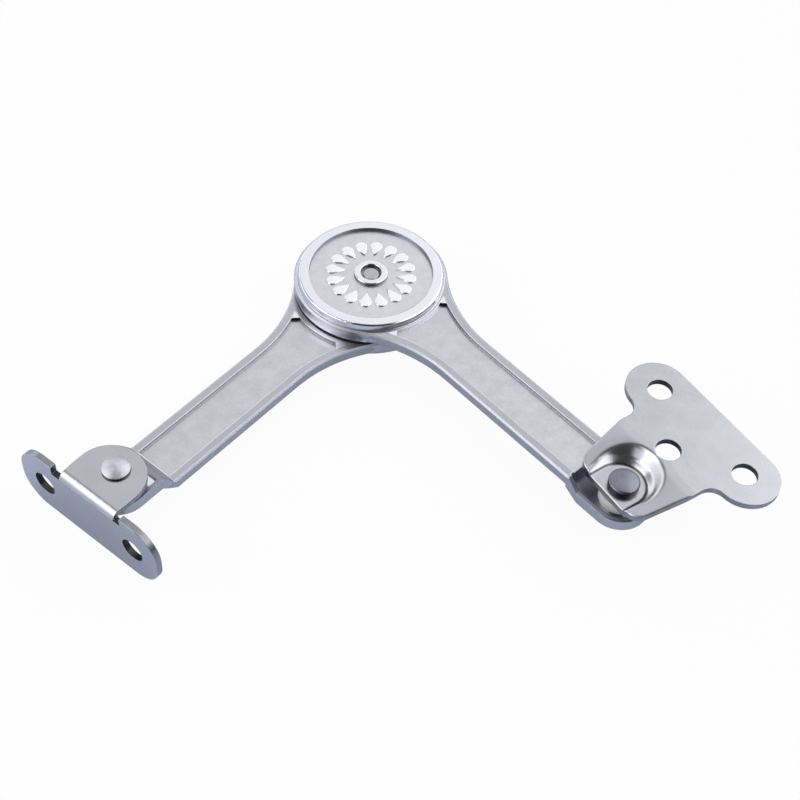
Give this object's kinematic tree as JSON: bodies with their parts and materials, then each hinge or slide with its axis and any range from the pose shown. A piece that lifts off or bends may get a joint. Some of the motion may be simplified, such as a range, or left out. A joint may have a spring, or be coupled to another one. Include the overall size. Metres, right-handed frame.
{
  "type": "lid support",
  "caption": "Folding lid support: two ribbed arms joined by a round friction hub, with a riveted T-shaped side plate and an angled lid bracket.",
  "frame": {"origin": "middle of the side plate's two outer screw holes, on the face that lies against the cabinet side", "axes": "+Z along the hinge axes, out of the side plate towards the cabinet side; +X from the side plate rivet towards its screw holes; +Y along the line of the two outer screw holes"},
  "size_m": [0.1152, 0.1054, 0.0148],
  "materials": {
    "plated_zinc": "nickel-plated zinc casting, satin panels and polished ribs",
    "plated_sheet": "nickel-plated pressed steel sheet, satin",
    "plated_rivet": "nickel-plated steel rivets",
    "rosette": "satin disc with bright raised petals",
    "polished_ring": "polished",
    "hard_steel": "turned steel, oiled",
    "spring_steel": "tempered spring steel",
    "lining": "friction lining, matt",
    "nylon": "nylon, matt",
    "bush": "sintered bronze"
  },
  "bodies": {
    "side_plate": {"side_plate": "plated_sheet", "side_plate_rivet": "plated_rivet", "side_plate_spacer": "nylon", "side_plate_tail_washer": "plated_rivet"},
    "upper_arm": {"upper_arm": "plated_zinc", "rosette_disc": "rosette", "centre_collar": "polished_ring", "pivot_pin": "hard_steel", "upper_lining": "lining", "stop_pin": "hard_steel", "pressure_plate": "hard_steel", "disc_springs": "spring_steel", "retaining_washer": "hard_steel", "glide_ring": "nylon"},
    "lower_arm": {"lower_arm": "plated_zinc", "friction_disc": "hard_steel", "lower_lining": "lining", "pivot_bush": "bush", "bottom_cover": "plated_sheet"},
    "lid_bracket": {"lid_bracket": "plated_sheet", "lid_bracket_rivet": "plated_rivet", "lid_bracket_spacer": "nylon", "lid_bracket_tail_washer": "plated_rivet"}
  },
  "joints": [
    {"name": "side_plate_pivot", "type": "hinge", "parent": "side_plate", "child": "upper_arm", "pos_m": [-0.0185, 0, 0], "axis": [0, 0, 1], "range_deg": [-85, 80]},
    {"name": "hub_pivot", "type": "hinge", "parent": "upper_arm", "child": "lower_arm", "pos_m": [-0.02801, 0.07036, 0], "axis": [0, 0, 1], "range_deg": [-83, 52]},
    {"name": "lid_bracket_pivot", "type": "hinge", "parent": "lower_arm", "child": "lid_bracket", "pos_m": [-0.0964, 0.05127, 0], "axis": [0, 0, 1], "range_deg": [-85, 85]}
  ]
}
